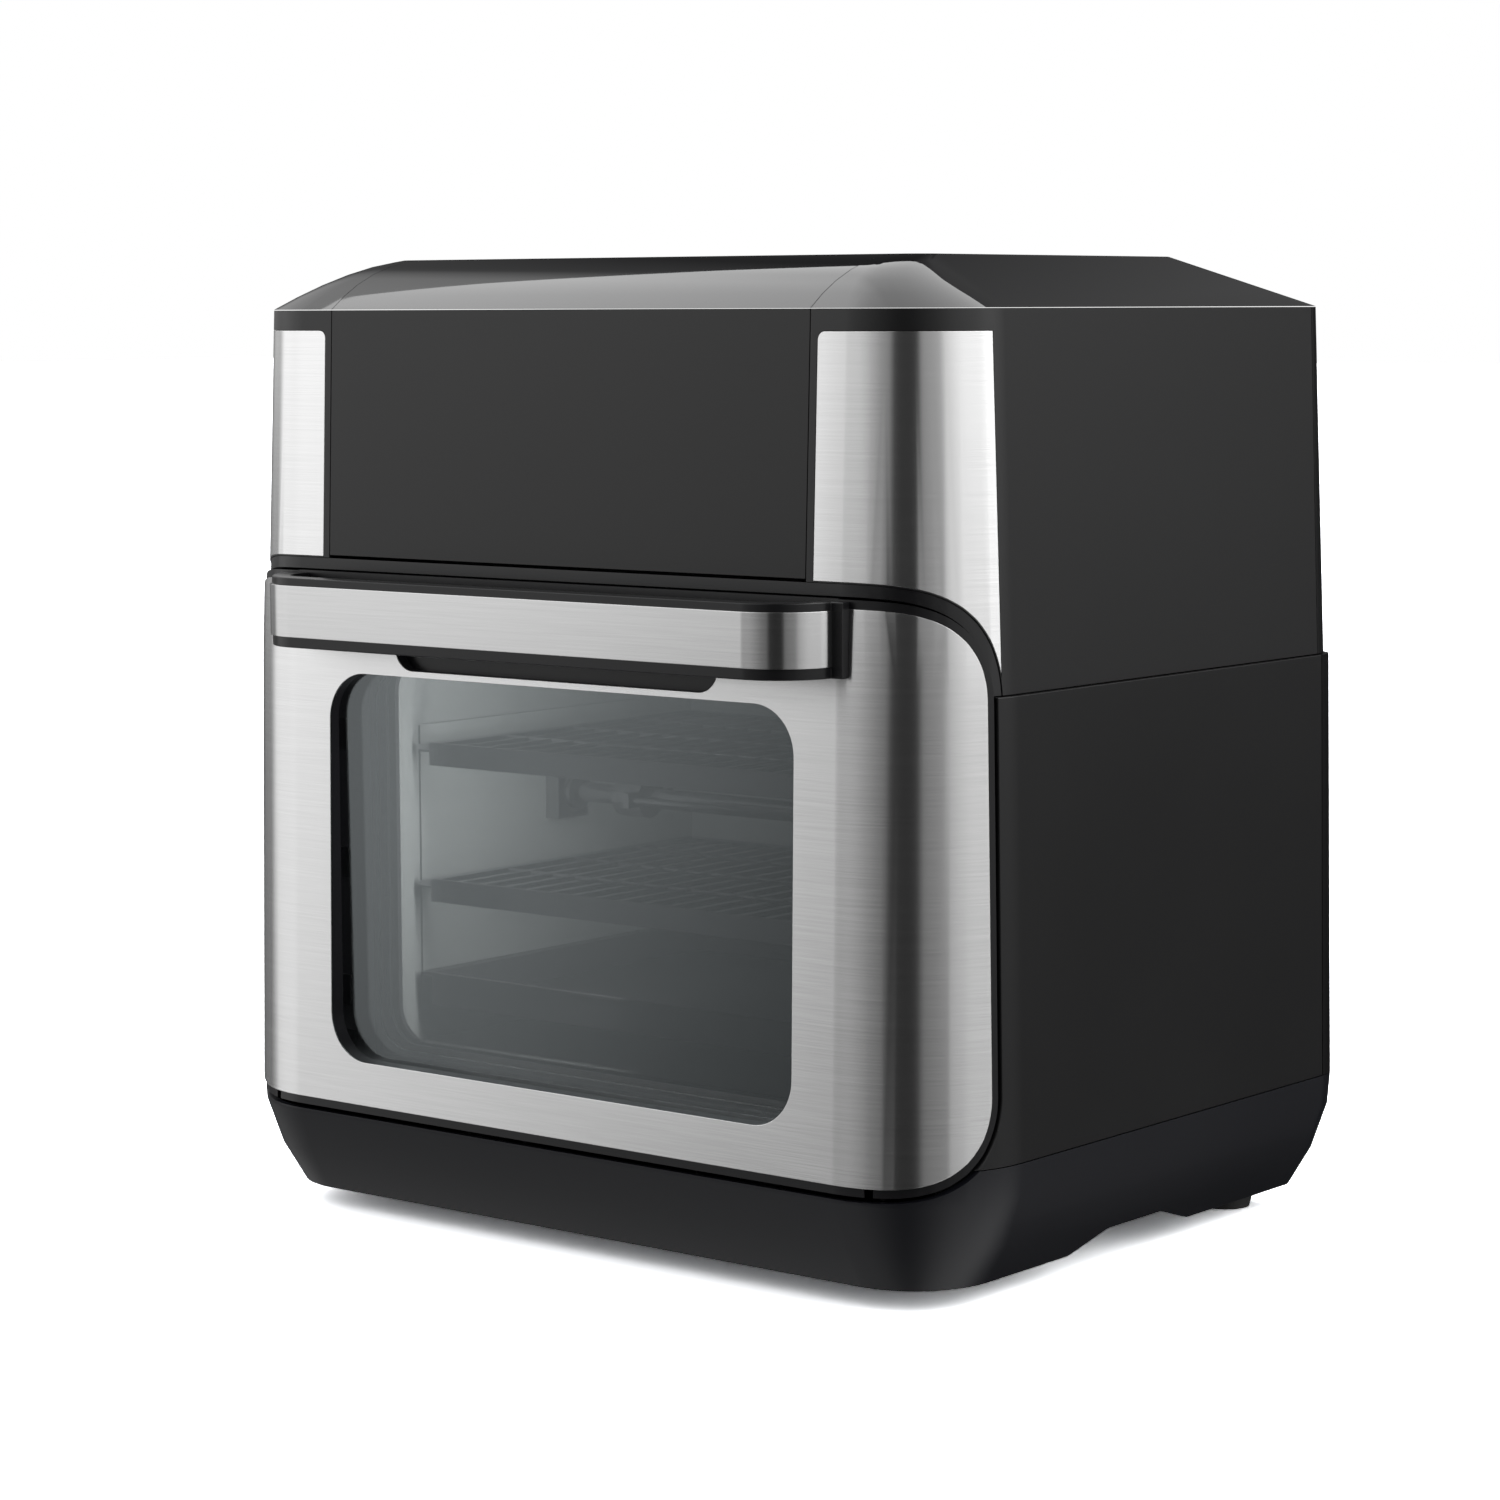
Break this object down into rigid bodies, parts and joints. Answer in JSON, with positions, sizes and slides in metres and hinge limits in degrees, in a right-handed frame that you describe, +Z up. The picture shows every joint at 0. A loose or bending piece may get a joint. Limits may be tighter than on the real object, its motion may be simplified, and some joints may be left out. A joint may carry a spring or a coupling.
{
  "type": "rotisserie oven",
  "caption": "Countertop rotisserie oven with a steel-faced drop-down glass door, bowed bar handle, spit with forks, racks, top heater and fan.",
  "frame": {"origin": "ground level, below the middle of the whole object's box, handle included", "axes": "+Z up, +X to the oven's left as the oven faces, which is the viewer's right, -Y out of the door"},
  "size_m": [0.3592, 0.295, 0.372],
  "materials": {
    "black_plastic": "satin black moulded plastic",
    "gloss_black": "gloss black moulded plastic",
    "panel_black": "satin dark touch panel",
    "brushed_steel": "horizontally brushed stainless steel",
    "inner_steel": "plain stainless and coated sheet",
    "frame_black": "black enamelled sheet",
    "wire_chrome": "bright plated wire and rod",
    "screw_steel": "zinc plated",
    "heater": "dark oxidised tube",
    "fan_alloy": "pressed aluminium",
    "motor_grey": "grey motor casing",
    "plain_black": "plain moulded plastic",
    "switch_red": "moulded plastic",
    "board_green": "circuit board",
    "ceramic": "ceramic and glazed fittings",
    "glass": "smoked toughened glass",
    "lens_glass": "frosted clear glass",
    "rubber": "soft black rubber"
  },
  "bodies": {
    "root": {"base_tray": "black_plastic", "feet": "rubber", "case_screws": "screw_steel", "lower_side_left": "black_plastic", "lower_side_right": "black_plastic", "lower_rear_cover": "black_plastic", "upper_side_left": "black_plastic", "upper_side_right": "black_plastic", "upper_rear_cover": "black_plastic", "top_cover": "gloss_black", "top_end_left": "gloss_black", "top_end_right": "gloss_black", "control_panel": "panel_black", "front_lip": "black_plastic", "steel_strip_left": "brushed_steel", "steel_strip_right": "brushed_steel", "front_frame": "frame_black", "cavity": "inner_steel", "rack_guides": "inner_steel", "rack_upper": "wire_chrome", "rack_lower": "wire_chrome", "drip_tray": "frame_black", "fan_housing": "inner_steel", "fan_guard": "wire_chrome", "heating_element": "heater", "motor_bracket": "inner_steel", "fan_motor": "motor_grey", "spit_motor": "motor_grey", "spit_support": "inner_steel", "display_board": "board_green", "control_board": "board_green", "power_board": "board_green", "cavity_lamp": "ceramic", "lamp_lens": "lens_glass", "temperature_probe": "wire_chrome", "thermal_fuse": "ceramic", "door_switch": "plain_black", "cord_gland": "black_plastic", "hinge_arms": "inner_steel", "gasket": "rubber"},
    "door": {"door_skin": "brushed_steel", "door_frame": "black_plastic", "door_liner": "inner_steel", "door_glass_outer": "glass", "door_glass_inner": "glass", "glass_clips": "inner_steel", "door_hinge_blocks": "inner_steel", "hinge_pins": "wire_chrome", "handle_core": "black_plastic", "handle_skin": "brushed_steel"},
    "spit": {"spit_rod": "wire_chrome", "drive_socket": "wire_chrome"},
    "fork_left": {"fork_left": "wire_chrome"},
    "fork_right": {"fork_right": "wire_chrome"},
    "fork_screw_left": {"fork_screw_left": "wire_chrome"},
    "fork_screw_right": {"fork_screw_right": "wire_chrome"},
    "fan": {"fan_shaft": "wire_chrome", "convection_fan": "fan_alloy", "cooling_fan": "plain_black"},
    "plunger": {"switch_plunger": "switch_red"}
  },
  "joints": [
    {"name": "door_hinge", "type": "hinge", "parent": "root", "child": "door", "pos_m": [0, -0.11607, 0.057], "axis": [1, 0, 0], "range_deg": [0, 90]},
    {"name": "spit_spin", "type": "hinge", "parent": "root", "child": "spit", "pos_m": [0, 0.01147, 0.1565], "axis": [1, 0, 0], "continuous": true},
    {"name": "fork_left_slide", "type": "slide", "parent": "spit", "child": "fork_left", "axis": [1, 0, 0], "range_m": [-0.018, 0.02]},
    {"name": "fork_right_slide", "type": "slide", "parent": "spit", "child": "fork_right", "axis": [1, 0, 0], "range_m": [-0.02, 0.018]},
    {"name": "fork_screw_left_turn", "type": "hinge", "parent": "fork_left", "child": "fork_screw_left", "pos_m": [-0.075, 0.01147, 0.165], "axis": [0, 0, 1], "range_deg": [0, 540]},
    {"name": "fork_screw_right_turn", "type": "hinge", "parent": "fork_right", "child": "fork_screw_right", "pos_m": [0.075, 0.01147, 0.165], "axis": [0, 0, 1], "range_deg": [0, 540]},
    {"name": "fan_spin", "type": "hinge", "parent": "root", "child": "fan", "pos_m": [0, 0.00584, 0.27], "axis": [0, 0, 1], "continuous": true},
    {"name": "switch_press", "type": "slide", "parent": "root", "child": "plunger", "axis": [0, 1, 0], "range_m": [0, 0.0015], "stiffness_N_per_m": 300, "springref_m": -0.002}
  ]
}
